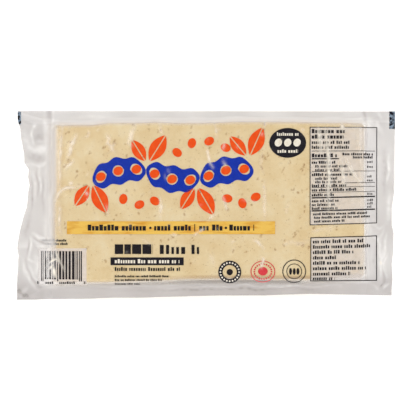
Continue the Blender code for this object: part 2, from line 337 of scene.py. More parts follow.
# folds of the sealed rim: a chain, its height, its half width and how much paler it is, which paints the
# fold's highlight where positive and its shade where negative, over the film's own stress whitening
rimFolds = [
    # the rolled corner at the back left: a dished disc in a bright fold, a dark wedge before it, their
    # highlight and shade painted into the film's paleness
    ([(-129.6, 53), (-128.4, 46), (-125.6, 42), (-121, 39.4), (-110, 35)], 0.45, 2.4, 0.22),
    ([(-121, 41.6), (-115.4, 39.4), (-111.4, 39.6)], 0.3, 2.4, 0.34),
    ([(-127.6, 35.4), (-121, 34.8), (-113, 31.8)], -0.3, 3.4, -0.3),
    ([(-117.6, 51.4), (-117, 45.6)], -0.4, 4.6, -0.24),
    ([(-122.4, 55), (-124, 50), (-122.2, 43.6)], 0.3, 1.1, 0.4),
    ([(-110.6, 52.4), (-111.2, 45.8)], 0.3, 1.2, 0.36),
    ([(-122, 57), (-120.6, 54.8)], 0.3, 1.3, 0.5),
    ([(-127.6, 29.4), (-119, 28.6), (-112, 31)], 0.4, 1, 0.26),
    ([(-119.4, 27.4), (-115.6, 28.2), (-113, 29.6)], 0.2, 0.9, 0.3),
    # streaks that run along the rolled left edge
    ([(-117.8, 27), (-117.4, 18), (-116.6, 8)], 0.4, 0.8, 0.4),
    ([(-122.4, 26), (-121.8, 14), (-121.4, 3)], 0.3, 1.5, 0.24),
    ([(-119.8, 26), (-119.4, 16), (-119.2, 6)], -0.2, 0.8, -0.24),
    ([(-113.6, 26), (-113, 12), (-112.4, 0)], 0.2, 1.6, 0.2),
    ([(-124.4, 20), (-124, 8), (-124.4, -4)], 0, 1.1, -0.3),
    ([(-115.4, 20), (-115, 6), (-115.2, -6)], -0.1, 0.8, -0.16),
    ([(-125, -6), (-127, -14), (-128.6, -22)], 0, 2.2, -0.2),
    # the front left: folds that fan out from the block's corner
    ([(-112.6, -8), (-111.6, -16), (-112, -24)], 0.3, 2.6, 0.4),
    ([(-122.6, -19.6), (-118.4, -23), (-112.6, -24.2)], 0.6, 1.1, 0.44),
    ([(-122.4, -22.4), (-118.6, -25.2), (-113.4, -26.4)], -0.2, 0.9, -0.26),
    ([(-121.4, -26), (-117.6, -29), (-110, -29.4)], 0.5, 1.2, 0.4),
    ([(-124.8, -22), (-124.6, -30), (-124.8, -38)], 0.5, 0.8, 0.5),
    ([(-126, -24), (-126.2, -36)], 0, 1, -0.3),
    ([(-125.4, -37.6), (-122.4, -40.4)], 0.3, 0.8, 0.4),
    ([(-120, -34), (-119.6, -42), (-120.6, -50)], 0.3, 1.8, 0.26),
    ([(-129.6, -38), (-128.6, -46), (-124.6, -54), (-118.6, -60)], 0.6, 1.1, 0.3),
    ([(-128, -36), (-127, -44), (-123, -52), (-116.6, -58)], -0.2, 1, -0.24),
    ([(-125.4, -42), (-122.4, -50), (-114, -57)], 0.3, 1, 0.26),
    ([(-133, -66), (-130, -61), (-127, -58)], 0.5, 1.5, 0.3),
    ([(-133.6, -59), (-130.4, -63.4), (-126, -65.6)], -0.4, 1.4, -0.36),
    # the front rim: long shallow folds along the block
    ([(-104, -58), (-92, -57.4), (-76, -57.8), (-60, -57)], 0.1, 1.2, -0.1),
    ([(-66, -57.4), (-44, -56), (-22, -55.2), (-4, -54.4)], 0.3, 0.8, 0.56),
    ([(-34, -58.8), (-8, -57.6), (29, -57), (52, -57.3), (68, -57.6)], 0.3, 0.8, 0.16),
    ([(20, -54.2), (29, -53.9), (38, -54.4)], 0.2, 0.7, 0.3),
    ([(-18, -56.5), (4, -55.8), (29, -55.5), (52, -54.8), (68, -54.8)], -0.2, 0.9, -0.12),
    ([(-60, -61), (-8, -59.6), (51, -59.2), (76, -59)], -0.1, 1.1, -0.12),
    ([(42, -57), (66, -57.6), (96, -57)], 0.2, 0.8, 0.2),
    # the right rim
    ([(112.6, 14), (113.8, 2), (114.2, -12), (114.4, -26)], 0.4, 1.4, 0.4),
    ([(113.4, -14), (115.8, -17), (116.2, -22)], 0.2, 1.4, 0.3),
    ([(129.8, 36), (129.6, 26), (129.2, 16)], 0.4, 1.1, 0.44),
    ([(127.2, 40), (126.6, 24), (126.4, 8)], -0.2, 1.6, -0.2),
    ([(130.6, 10), (130.2, 0), (129.6, -12)], 0.3, 1.5, 0.34),
    ([(126.4, -16), (124, -22), (121.4, -27)], 0.2, 1.2, 0.16),
    ([(128.4, -20), (127.4, -30), (125.8, -38)], 0.3, 0.9, 0.36),
    ([(125.2, -32), (124.2, -42), (124.4, -52)], 0.2, 1.1, 0.24),
    ([(118.6, -14.4), (122.4, -15.8), (126.6, -14)], 0.3, 0.9, 0.2),
    ([(117, -20.4), (121.6, -23.6), (124.4, -28.4)], 0.3, 0.9, 0.26),
    ([(124.6, -25), (122.6, -33), (125.2, -42), (123.4, -50)], 0.4, 0.8, 0.3),
    ([(128.6, -34), (126.8, -42), (129, -51)], 0.4, 0.7, 0.3),
    ([(121, -29), (120, -40), (121.6, -48)], -0.2, 1.2, -0.24),
    ([(126.6, -46), (127.4, -56)], -0.2, 1, -0.24),
    ([(126.8, -59.8), (130, -56.4)], 0.5, 0.8, 0.5),
    ([(124.4, -58.6), (127.6, -55.2)], -0.2, 0.9, -0.24),
    ([(120, -56.6), (123, -61)], 0.2, 1.2, 0.2),
    # the back rim is drawn tight: a few faint folds at its ends
    ([(-104, 61.6), (-84, 62.6), (-58, 61.8)], 0.2, 1.4, 0.1),
    ([(112, 61.4), (120, 58), (125, 51)], 0.3, 1.8, 0.16),
    ([(121.8, 66), (124.6, 60)], 0.2, 1.1, 0.26),
]


def creased(x, y, creases, unsteady=0.35, widen=1.0, narrowest=0.85):
    # height and paleness that the creases add, the paleness partly stress whitening and partly painted
    # highlight, and painted shade where it is negative; their lines are unsteady and fade at both ends
    shiftX = x + unsteady * ripple(x, y, 8, 21)
    shiftY = y + unsteady * ripple(x, y, 8, 22)
    patchy = 0.85 + 0.25 * ripple(x, y, 2.2, 23)
    height = np.zeros(np.shape(x))
    pale = np.zeros(np.shape(x))
    for chain, rise, width, whiteningAndShading in creases:
        away, along = nearChain(shiftX, shiftY, chain)
        strength = np.exp(-((away / max(widen * width, narrowest)) ** 2))
        strength = strength * np.sin(math.pi * np.clip(along, 0.03, 0.97)) ** 0.5
        height = height + rise * strength
        pale = pale + whiteningAndShading * strength * patchy
    return height, pale


nicks = {
    "count": 90, "heading": -118, "headingSpread": 28,  # degrees
    "inLeft": 28, "inRight": 26, "inFront": 18, "inBack": 13,  # mm in from the pack's edges
}


def smallCreases():
    # short nicks all over the face, most of them on the diagonal
    dice = np.random.default_rng(5)
    found = []
    for _ in range(nicks["count"]):
        x = dice.uniform(packLow.x / mm + nicks["inLeft"], packHigh.x / mm - nicks["inRight"])
        y = dice.uniform(packLow.y / mm + nicks["inFront"], packHigh.y / mm - nicks["inBack"])
        heading = math.radians(dice.normal(nicks["heading"], nicks["headingSpread"]))
        half = dice.uniform(0.8, 3.0)
        bend = dice.normal(0, 0.5)
        reach = (half * math.cos(heading), half * math.sin(heading))
        chain = [(x - reach[0], y - reach[1]), (x + bend, y), (x + reach[0], y + reach[1])]
        rise, width = dice.uniform(0.04, 0.14), dice.uniform(0.6, 0.9)
        found.append((chain, rise, width, dice.uniform(0.02, 0.16)))
    return found


# the printed panels, in mm from the pack's middle

factsPanel = {
    "left": 73.5, "right": 121.7, "low": -14, "high": 55.5, "line": 0.55,
    # rules: from, to, height, thickness
    "rules": [
        (75, 120.2, 38.4, 0.4), (75, 94.4, 32.9, 0.8), (75, 120.2, 23.9, 0.35),
        (98, 120.2, 15.5, 0.35), (75, 120.2, 12.6, 0.3), (75, 120.2, 9, 0.3),
        (75, 120.2, 5.3, 0.9), (75, 120.2, -3.9, 0.9),
    ],
    # rows: from, to, middle, size, stroke
    "rows": [
        (75, 98.2, 52.5, 2.9, 0.62), (75, 97.4, 48.6, 2.9, 0.62), (75, 101.6, 44.6, 2.3, 0.42),
        (75, 101.6, 41.1, 2.3, 0.42), (75, 92.6, 35.3, 2.7, 0.6), (96.6, 118.6, 36.2, 1.9, 0.5),
        (104, 118.6, 33.9, 1.9, 0.5), (75, 92, 30.4, 2, 0.5), (77.4, 100, 27.6, 1.9, 0.36),
        (77.4, 95.6, 25, 1.9, 0.36), (75, 103.6, 21.7, 2, 0.5), (77.4, 94, 18.9, 1.9, 0.36),
        (77.4, 95.8, 16.5, 1.9, 0.36), (75, 99.4, 13.9, 2, 0.5), (75, 106.6, 10.8, 2, 0.5),
        (75, 90.8, 7.3, 2, 0.5), (75, 94, 3.1, 1.9, 0.4), (75, 91.4, 0.4, 1.9, 0.4),
        (75, 93, -2.2, 1.9, 0.4), (76, 114.4, -6.2, 1.7, 0.5), (76.6, 117, -8.7, 1.7, 0.5),
        (76.6, 98, -11.3, 1.7, 0.5),
    ],
    "shares": [30.6, 27, 20, 17.2, 7.3, 2.8, 0.4, -2],  # heights of the right column
}
contentsPanel = {
    "left": 74, "right": 121.7, "low": -53.7, "high": -22.5, "line": 0.6,
    "rows": [
        (75.8, 111.4, -25.6), (75.8, 116.6, -29.3), (75.8, 104.3, -33.1), (75.8, 92.3, -36.9),
        (75.8, 108.6, -40.6), (75.8, 113.5, -44.4), (75.8, 102.2, -48.2), (75.8, 91.4, -51.6),
    ],
}
codePanel = {
    "left": -118.5, "right": -83.9, "low": -55.9, "high": -30.2,
    # bars in no code's order, as (start, width) from the first one's side
    "bars": [(0, 0.6), (1.2, 0.5), (2.7, 1.1), (4.6, 0.6), (6, 1.3), (8.2, 0.7), (9.7, 1.3),
             (11.9, 0.6), (13.3, 1.5), (15.6, 1.4), (17.8, 1.3), (20, 1.5), (22.4, 1.8), (25, 0.5),
             (26.1, 0.5), (27.4, 0.6), (28.6, 0.8)],
    "barsStart": -116.6, "barsTop": -32.2, "foot": -52.2,
    "long": (0, 1, 7, 15, 16), "longFoot": -53.6,  # the guard bars stand lower
    "digits": [(-119.4, -118), (-113.4, -107.2), (-103.4, -91), (-86, -84.6)],
}


def onPanel(panel, x, y):
    # 1 over the panel, with a soft edge
    inside = np.minimum.reduce([
        x - panel["left"], panel["right"] - x, y - panel["low"], panel["high"] - y
    ])
    return smooth(inside / 1.5 + 0.5)


# the film's mesh

filmMesh = {
    "cell": 0.75, "rimRings": 10, "sideRings": 14, "roundRings": 6, "floorGap": 0.04,
    # wrinkles of the pocket's sides: mm across, and how far out as a share of the pocket's size
    "wrinkleSize": 5, "wrinkleDepth": 0.0045,
}


def backHalf(y):
    # 0 over the pack's front half and 1 over its back half
    return smooth((y - 2) / 8)


def edgeHaze(x, y):
    # the film lies clear on the face and turns milky where it leaves the block, on each side
    # from another line, densest over the block's own edge
    sides = outFrom(x, y)
    cornerX, cornerY = sides["Right"] / 17, (sides["Back"] - 1) / 5
    haze = filmLook["cornerHaze"] * np.exp(-(cornerX**2) - cornerY**2)
    sides["Left"] = sides["Left"] + filmLook["leftFurther"] * backHalf(y)
    for side, out in sides.items():
        begins, rise, denser = filmLook["haze" + side]
        cover = filmLook["rimHaze"] + denser * (1 - smooth(out / 3))
        haze = np.maximum(haze, cover * smooth((out - begins) / rise))
    return haze


def deepFront(x):
    # along the front edge: 0 at the left, where the film clings to the block, 1 where it bridges
    return smooth((x + 60) / 70)


def frontGap(x, y, planX):
    # how open the gap is that the film bridges along the front edge, less so towards both ends; shade is
    # painted into the film over it
    out = outFrom(x, y)["Front"]
    beside = 1 - smooth((np.abs(x) - blockLength / 2 + 3) / 3)
    closes = smooth((planX - 62) / 10)
    gap = bell(out, filmLook["gapCentre"], filmLook["gapReach"]) * beside
    return gap * (0.55 + 0.45 * deepFront(planX) - 0.6 * closes)


def steepRuns(x, y, away):
    # the light lost where the film runs down steeply at the block's back, left and right edges
    out = outFrom(x, y)
    between = (out["Left"] < 0) * (out["Right"] < 0)
    back = bell(away, 0.9, 2.4) * smooth((away + 1.2) / 0.8) * between
    left = smooth((out["Left"] + 0.9) / 1.3) * (1 - smooth((out["Left"] - 1.6) / 3.6))
    left = left * (0.4 + 0.6 * backHalf(y))
    right = bell(out["Right"], 0.8, 2.4)
    runs = {"backSlope": back, "leftSlope": left, "rightSlope": right}
    return np.maximum.reduce([filmLook[name] * run for name, run in runs.items()])


def overSeal(away):
    # 0 over the face and 1 from its rounded edge outwards
    return smooth((away + 5) / 3.5)


def lidPaleness(x, y, planX, planY, away):
    # how pale the haze is before its folds: white over the face, duller where films are sealed,
    # in shade along the front and on the steep runs, and a little at both ends
    out = outFrom(x, y)
    pale = 1 - (1 - filmLook["rimPale"]) * overSeal(away)
    soft = 1.5 + 8 * smooth((np.abs(x) - blockLength / 2) / 8)
    ahead = smooth((out["Front"] + soft) / (2 * soft))
    pale = pale - np.interp(planX, *zip(*filmLook["frontShade"])) * ahead
    pale = pale - steepRuns(x, y, away) * (1 - ahead)
    pale = pale - filmLook["leftShade"] * smooth((out["Left"] - 2) / 6)
    pale = pale - filmLook["rightShade"] * smooth(out["Right"] / 3)
    panels = onPanel(factsPanel, planX, planY) + onPanel(contentsPanel, planX, planY)
    return pale + filmLook["panelPale"] * panels


def lidGrid():
    # the lid film's points as a grid over the whole outline, with its haze and how pale that is
    left, right = -blockLength / 2 - pack["rimLeft"], blockLength / 2 + pack["rimRight"]
    front, back = -blockWidth / 2 - pack["rimFront"], blockWidth / 2 + pack["rimBack"]
    columns = round((right - left) / filmMesh["cell"]) + 1
    rows = round((back - front) / filmMesh["cell"]) + 1
    x, y = np.meshgrid(np.linspace(left, right, columns), np.linspace(front, back, rows))
    planX, planY = inPlan(x, y)
    share = rimShare(x, y)
    away = roundedDistance(x, y, pack["cornerRadius"])
    onFace = 1 - smooth((away + 1.5) / 2.5)
    width = filmLook["creaseWidth"]
    largeRise, largeWhiteningAndGlint = creased(planX, planY, faceCreases, widen=width, narrowest=1.05)
    smallRise, smallWhiteningAndGlint = creased(planX, planY, codeCreases + smallCreases())
    # the creases cloud the film pale: stress whitening with painted highlights
    whiteningAndGlint = filmLook["creaseWhiteningAndGlint"] * largeWhiteningAndGlint + smallWhiteningAndGlint
    foldRise, foldPale = rimWrinkles(planX, planY, share)
    height = lidHeight(x, y) + onFace * faceRelief(planX, planY)
    height = height + (1 - onRim(share)) * (largeRise + smallRise) + foldRise
    gap = frontGap(x, y, planX)
    # over the front gap the film is made milky and dark: painted shade
    haze = np.maximum(edgeHaze(x, y), filmLook["gapShadeCover"] * gap)
    haze = haze * (1 - filmLook["codeClears"] * onPanel(codePanel, planX, planY)) + whiteningAndGlint
    pale = lidPaleness(x, y, planX, planY, away) - filmLook["gapShade"] * gap
    pale = pale + foldPale + whiteningAndGlint * overSeal(away)
    trimmedEdge = smooth((share - 0.95) / 0.05)
    pale = pale + 0.05 * onRim(share) * ripple(planX, planY, 17, 33) + 0.25 * trimmedEdge
    places = np.stack([planX, planY, height], axis=-1)
    return x, y, places, np.clip(haze, 0, 0.95), np.clip(pale, 0, 1)


def gusset(x, y, climb):
    toX, toY = np.sign(x), np.sign(y)
    gap = np.hypot(x - toX * blockLength / 2, y - toY * blockWidth / 2)
    pull = pack["gussetPull"] * np.exp(-((gap / pack["gussetSpread"]) ** 2)) * climb**3
    return x + toX * pull * math.sqrt(0.5), y + toY * pull * math.sqrt(0.5)


def blockOutline(x, y, inset):
    # moves places on the pack's straight outline in to the block's, with its rounded corners
    spanX = np.where(x > 0, blockLength / 2 + pack["rimRight"], blockLength / 2 + pack["rimLeft"])
    spanY = np.where(y > 0, blockWidth / 2 + pack["rimBack"], blockWidth / 2 + pack["rimFront"])
    halfX, halfY = blockLength / 2 - inset, blockWidth / 2 - inset
    sharpX, sharpY = x / spanX * halfX, y / spanY * halfY
    radius = max(pack["cornerRadius"] - inset, 1.5)
    coreX = np.clip(sharpX, radius - halfX, halfX - radius)
    coreY = np.clip(sharpY, radius - halfY, halfY - radius)
    length = np.maximum(np.hypot(sharpX - coreX, sharpY - coreY), 1e-6)
    return coreX + (sharpX - coreX) / length * radius, coreY + (sharpY - coreY) / length * radius


def rimWrinkles(planX, planY, share):
    # what the sealed rim's folds add to its plain height, and how much paler they make it, with their
    # highlights and shade painted into that paleness
    rise, pale = creased(planX, planY, rimFolds, unsteady=0.5)
    for height, size, seed in pack["rimUneven"]:
        rise = rise + height * ripple(planX, planY, size, seed)
    return filmLook["foldRise"] * rise * onRim(share), filmLook["foldContrast"] * pale * onRim(share)


def gridRing(columns, rows):
    # the grid's outer points, counter-clockwise from its front left corner
    front = [column for column in range(columns - 1)]
    right = [row * columns + columns - 1 for row in range(rows - 1)]
    back = [(rows - 1) * columns + column for column in range(columns - 1, 0, -1)]
    left = [row * columns for row in range(rows - 1, 0, -1)]
    return front + right + back + left


def gridFaces(columns, rows):
    # two triangles for each cell, so that ink cut from the film lies exactly along it
    faces = []
    for row in range(rows - 1):
        for column in range(columns - 1):
            a = row * columns + column
            faces.append((a, a + 1, a + columns + 1))
            faces.append((a, a + columns + 1, a + columns))
    return faces


def ringFaces(ring, rings, count):
    # bands from the grid's edge down through this many rings of new points, the first of them
    # numbered count, and one face over the last ring
    faces = []
    earlier = ring
    for _ in range(rings):
        later = list(range(count, count + len(ring)))
        count += len(ring)
        for index, corner in enumerate(earlier):
            onward = (index + 1) % len(ring)
            faces.append((later[index], later[onward], earlier[onward], corner))
        earlier = later
    return faces + [tuple(reversed(earlier))]


def lowerEdge(steps, lowest):
    # inset and level of each ring round the lower edge, down to the face that the pack rests on
    rings = []
    for step in range(1, steps + 1):
        angle = 0.5 * math.pi * step / steps
        inset = pack["pocketDraft"] + pack["lowerRounding"] * (1 - math.cos(angle))
        rings.append((inset, lowest + (pack["lowerRounding"] - lowest) * (1 - math.sin(angle))))
    return rings


# materials

filmLook = {
    # share of light that each film scatters
    "rimHaze": 0.62, "sideHaze": 0.10, "cornerHaze": 0.6,
    # on each side: where the haze begins, in mm out from the block's edge, how far it takes, and
    # how much denser it is over that edge; the back half of the left edge begins further in
    "hazeBack": (-3.4, 4.6, 0.13), "hazeFront": (-1.9, 3.2, 0.0), "hazeRight": (-1.2, 3.2, 0.13),
    "hazeLeft": (-6.0, 6.8, 0.13), "leftFurther": 1.6,
    "codeClears": 0.85,  # over the printed code the film lets through this much less haze
    # the haze is cream where the film is creased on the block, which partly paints the creases'
    # highlight, greyer where it is only sealed, and darkest where shade is painted into it
    "milk": [(0.0, "837A74"), (0.1, "A8A09E"), (0.85, "EEEBE9"), (1.0, "FDF4E4")],
    "rimPale": 0.58, "sidePale": 0.65,
    # foldContrast scales the rim folds' painted highlight and shade
    "foldContrast": 0.9, "foldRise": 0.6,
    # the front lies in shade, here as (x, share), most of all where the film leaves the block
    "frontShade": [(-134, 0.3), (-60, 0.33), (10, 0.41), (88, 0.4), (112, 0.27)],
    # over the front gap: how much darker the painted shade makes the film, how milky it makes it, and
    # where the gap lies and how wide it reaches
    "gapShade": 0.42, "gapShadeCover": 0.88, "gapCentre": 1.4, "gapReach": 2.8,
    # as does the steep run beside the block's other edges, and the rolled left end
    "backSlope": 0.25, "leftSlope": 0.37, "rightSlope": 0.3, "leftShade": 0.14, "rightShade": 0.05,
    "panelPale": 0.1,  # over the panels' white ink it looks paler
    "creaseWidth": 1.15, "creaseWhiteningAndGlint": 1.3,
    "ior": 1.5, "roughness": 0.16,
}


def packingFilmMaterial():
    # polyamide and polyethylene film, cast: clear and glossy, milky where it is sealed and creased
    material, tree = newMaterial("cast packing film")
    haze = addNode(tree, "ShaderNodeAttribute", {"attribute_name": "haze"})
    clear = addNode(tree, "ShaderNodeBsdfTransparent", {"Color": hexToLinear("FBFBFA")})
    pale = addNode(tree, "ShaderNodeAttribute", {"attribute_name": "pale"})
    milk = rampOf(tree, pale.outputs["Fac"], filmLook["milk"])
    frost = addNode(tree, "ShaderNodeBsdfDiffuse", links={"Color": milk})
    gloss = addNode(
        tree, "ShaderNodeBsdfGlossy",
        {"Color": hexToLinear("FFFFFF"), "Roughness": filmLook["roughness"]},
    )
    # reflection of a thin film, the same from both sides: a few percent, and all of it at grazing
    facing = addNode(tree, "ShaderNodeLayerWeight", {"Blend": 0.5})
    steep = addNode(
        tree, "ShaderNodeMath", {"operation": "POWER", 1: 5.0}, {0: facing.outputs["Facing"]}
    )
    straightOn = ((filmLook["ior"] - 1) / (filmLook["ior"] + 1)) ** 2
    shine = addNode(
        tree, "ShaderNodeMath", {"operation": "MULTIPLY_ADD", 1: 1 - straightOn, 2: straightOn},
        {0: steep.outputs[0]},
    )
    sheet = addNode(
        tree, "ShaderNodeMixShader",
        links={0: haze.outputs["Fac"], 1: clear.outputs[0], 2: frost.outputs[0]},
    )
    film = addNode(
        tree, "ShaderNodeMixShader",
        links={0: shine.outputs[0], 1: sheet.outputs[0], 2: gloss.outputs[0]},
    )
    addNode(tree, "ShaderNodeOutputMaterial", links={"Surface": film.outputs[0]})
    return material


tofuLook = {
    "patchSize": 16, "curdSize": 2.4, "grainSize": 0.7, "poreSize": 2.8,  # mm
    "curdShare": 0.45,  # how much the single curds show beside the patches
    "patches": [(0.30, "E2C899"), (0.52, "E8D1A5"), (0.74, "ECD9B3")],
    "pitAndShade": "9C6F3C", "roughness": 0.5, "ior": 1.38, "reliefDepth": 0.16,
}


def tofuMaterial():
    # pressed soybean curd: matt cream, patchy where curds were packed denser, with darker pits; painted
    # shade along the block's edges takes the pits' colour
    material, tree = newMaterial("pressed soybean curd")
    place = addNode(tree, "ShaderNodeTexCoord").outputs["Object"]
    patch, curd, grain = (
        addNode(
            tree, "ShaderNodeTexNoise",
            {"Scale": 1 / (tofuLook[size] * mm), "Detail": detail, "Roughness": rough}, {"Vector": place},
        ).outputs["Fac"]
        for size, detail, rough in (("patchSize", 3, 0.5), ("curdSize", 4, 0.6), ("grainSize", 3, 0.5))
    )
    share = tofuLook["curdShare"]
    both = addNode(
        tree, "ShaderNodeMath", {"operation": "MULTIPLY_ADD", 1: share}, {0: curd, 2: patch}
    )
    level = addNode(
        tree, "ShaderNodeMath", {"operation": "SUBTRACT", 1: share / 2}, {0: both.outputs[0]}
    )
    cream = rampOf(tree, level.outputs[0], tofuLook["patches"])
    # pores: real ones are half as wide, and are drawn coarser so that they show
    pores = addNode(
        tree, "ShaderNodeTexVoronoi", {"Scale": 1 / (tofuLook["poreSize"] * mm)}, {"Vector": place}
    )
    pore = addNode(
        tree, "ShaderNodeMapRange", {"From Min": 0.08, "From Max": 0.18, "To Min": 0.4, "To Max": 0.0},
        {"Value": pores.outputs["Distance"]},
    )
    pitAndShade = addNode(tree, "ShaderNodeAttribute", {"attribute_name": "pitAndShade"})
    dark = addNode(
        tree, "ShaderNodeMath", {"operation": "MAXIMUM"}, {0: pitAndShade.outputs["Fac"], 1: pore.outputs[0]}
    )
    colour = addNode(
        tree, "ShaderNodeMix", {"data_type": "RGBA", 7: hexToLinear(tofuLook["pitAndShade"])},
        {0: dark.outputs[0], 6: cream},
    )
    relief = addNode(
        tree, "ShaderNodeBump", {"Strength": 0.5, "Distance": tofuLook["reliefDepth"] * mm},
        {"Height": grain},
    )
    curdShader = addNode(
        tree, "ShaderNodeBsdfPrincipled",
        {"Roughness": tofuLook["roughness"], "IOR": tofuLook["ior"]},
        {"Base Color": colour.outputs[2], "Normal": relief.outputs[0]},
    )
    addNode(tree, "ShaderNodeOutputMaterial", links={"Surface": curdShader.outputs[0]})
    return material


def inkMaterial(name, solid, patchColour, patchSize=3.0, streak=1.0, worn=0.7):
    # gravure ink on film: even and dense, a little thinner in patches where the film stretched; on the
    # seam marks the pale patches are painted glints of the crinkled film they are printed on
    material, tree = newMaterial(name)
    place = addNode(tree, "ShaderNodeTexCoord").outputs["Object"]
    drawn = addNode(
        tree, "ShaderNodeMapping", {"Rotation": (0, 0, math.radians(-14)), "Scale": (1 / streak, 1, 1)},
        {"Vector": place},
    )
    patch = addNode(
        tree, "ShaderNodeTexNoise", {"Scale": 1 / (patchSize * mm), "Detail": 3.0},
        {"Vector": drawn.outputs[0]},
    )
    colour = rampOf(tree, patch.outputs["Fac"], [(0.45, solid), (worn, patchColour)])
    ink = addNode(
        tree, "ShaderNodeBsdfPrincipled",
        {"Roughness": 0.45, "IOR": 1.48, "Specular IOR Level": 0.1},
        {"Base Color": colour},
    )
    addNode(tree, "ShaderNodeOutputMaterial", links={"Surface": ink.outputs[0]})
    return material


def backingMaterial(name, white, cover):
    # white ink behind the panels: a see-through veil, uneven as one pass of ink is
    material, tree = newMaterial(name)
    place = addNode(tree, "ShaderNodeTexCoord").outputs["Object"]
    patch = addNode(
        tree, "ShaderNodeTexNoise", {"Scale": 1 / (5 * mm), "Detail": 3.0}, {"Vector": place}
    )
    covered = addNode(
        tree, "ShaderNodeMapRange",
        {"From Min": 0.3, "From Max": 0.7, "To Min": cover - 0.06, "To Max": cover + 0.06},
        {"Value": patch.outputs["Fac"]},
    )
    clear = addNode(tree, "ShaderNodeBsdfTransparent", {"Color": hexToLinear("FFFFFF")})
    pigment = addNode(tree, "ShaderNodeBsdfDiffuse", {"Color": hexToLinear(white)})
    veil = addNode(
        tree, "ShaderNodeMixShader",
        links={0: covered.outputs[0], 1: clear.outputs[0], 2: pigment.outputs[0]},
    )
    addNode(tree, "ShaderNodeOutputMaterial", links={"Surface": veil.outputs[0]})
    return material


# the film: lid, rim and formed pocket in one closed skin


def makeFilm():
    x, y, lid, haze, pale = lidGrid()
    rows, columns = x.shape
    ring = gridRing(columns, rows)
    edgeX, edgeY = x.ravel()[ring], y.ravel()[ring]
    # the lid, then each ring below it: places, haze and paleness
    parts = [(*lid.reshape(-1, 3).T, haze.ravel(), pale.ravel())]
    startX, startY = gusset(*blockOutline(edgeX, edgeY, -pack["pocketStart"]), 1.0)
    for step in range(filmMesh["rimRings"] + 1):
        along = 1 - step / filmMesh["rimRings"]
        flatX, flatY = startX + (edgeX - startX) * along, startY + (edgeY - startY) * along
        share = rimShare(flatX, flatY)
        planX, planY = inPlan(flatX, flatY)
        rise, paler = rimWrinkles(planX, planY, share)
        height = rimHeight(flatX, flatY, share) + rise - pack["rimThickness"]
        clouded = filmLook["rimHaze"] * smooth(along * 4) * 0.75 + filmLook["sideHaze"]
        parts.append((planX, planY, height, clouded, filmLook["rimPale"] + paler))
    top = pack["rimLevel"] - pack["rimThickness"]
    for step in range(1, filmMesh["sideRings"] + 1):
        climb = 1 - step / filmMesh["sideRings"]
        inset = pack["pocketDraft"] * (1 - climb) - pack["pocketStart"] * climb**2
        flatX, flatY = gusset(*blockOutline(edgeX, edgeY, inset), climb)
        level = pack["lowerRounding"] + (top - pack["lowerRounding"]) * climb
        upright = flatX - flatY + level * 0.4
        fold = np.maximum(ripple(flatX + flatY, upright, filmMesh["wrinkleSize"], 41), 0)
        out = 1 + filmMesh["wrinkleDepth"] * fold * math.sin(math.pi * min(climb * 1.1, 1.0))
        clouded = filmLook["sideHaze"] * (1 + 1.6 * fold * climb)
        parts.append((*inPlan(flatX * out, flatY * out), level, clouded, filmLook["sidePale"]))
    for inset, level in lowerEdge(filmMesh["roundRings"], filmMesh["floorGap"]):
        planX, planY = inPlan(*blockOutline(edgeX, edgeY, inset))
        parts.append((planX, planY, level, filmLook["sideHaze"], filmLook["sidePale"]))
    joined = [
        np.concatenate([np.broadcast_to(part[kind], part[0].shape) for part in parts])
        for kind in range(5)
    ]
    lidFaces = gridFaces(columns, rows)
    faces = lidFaces + ringFaces(ring, len(parts) - 1, rows * columns)
    film = meshPiece(
        "clear_film", np.stack(joined[:3], axis=-1), faces, packingFilmMaterial(),
        {"haze": np.clip(joined[3], 0, 0.95), "pale": np.clip(joined[4], 0, 1)},
    )
    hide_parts("tofu_pack")
    print("film:", len(faces), "faces, lid grid", columns, "by", rows)
    return lid.reshape(-1, 3)[np.array(lidFaces)]


# the tofu block

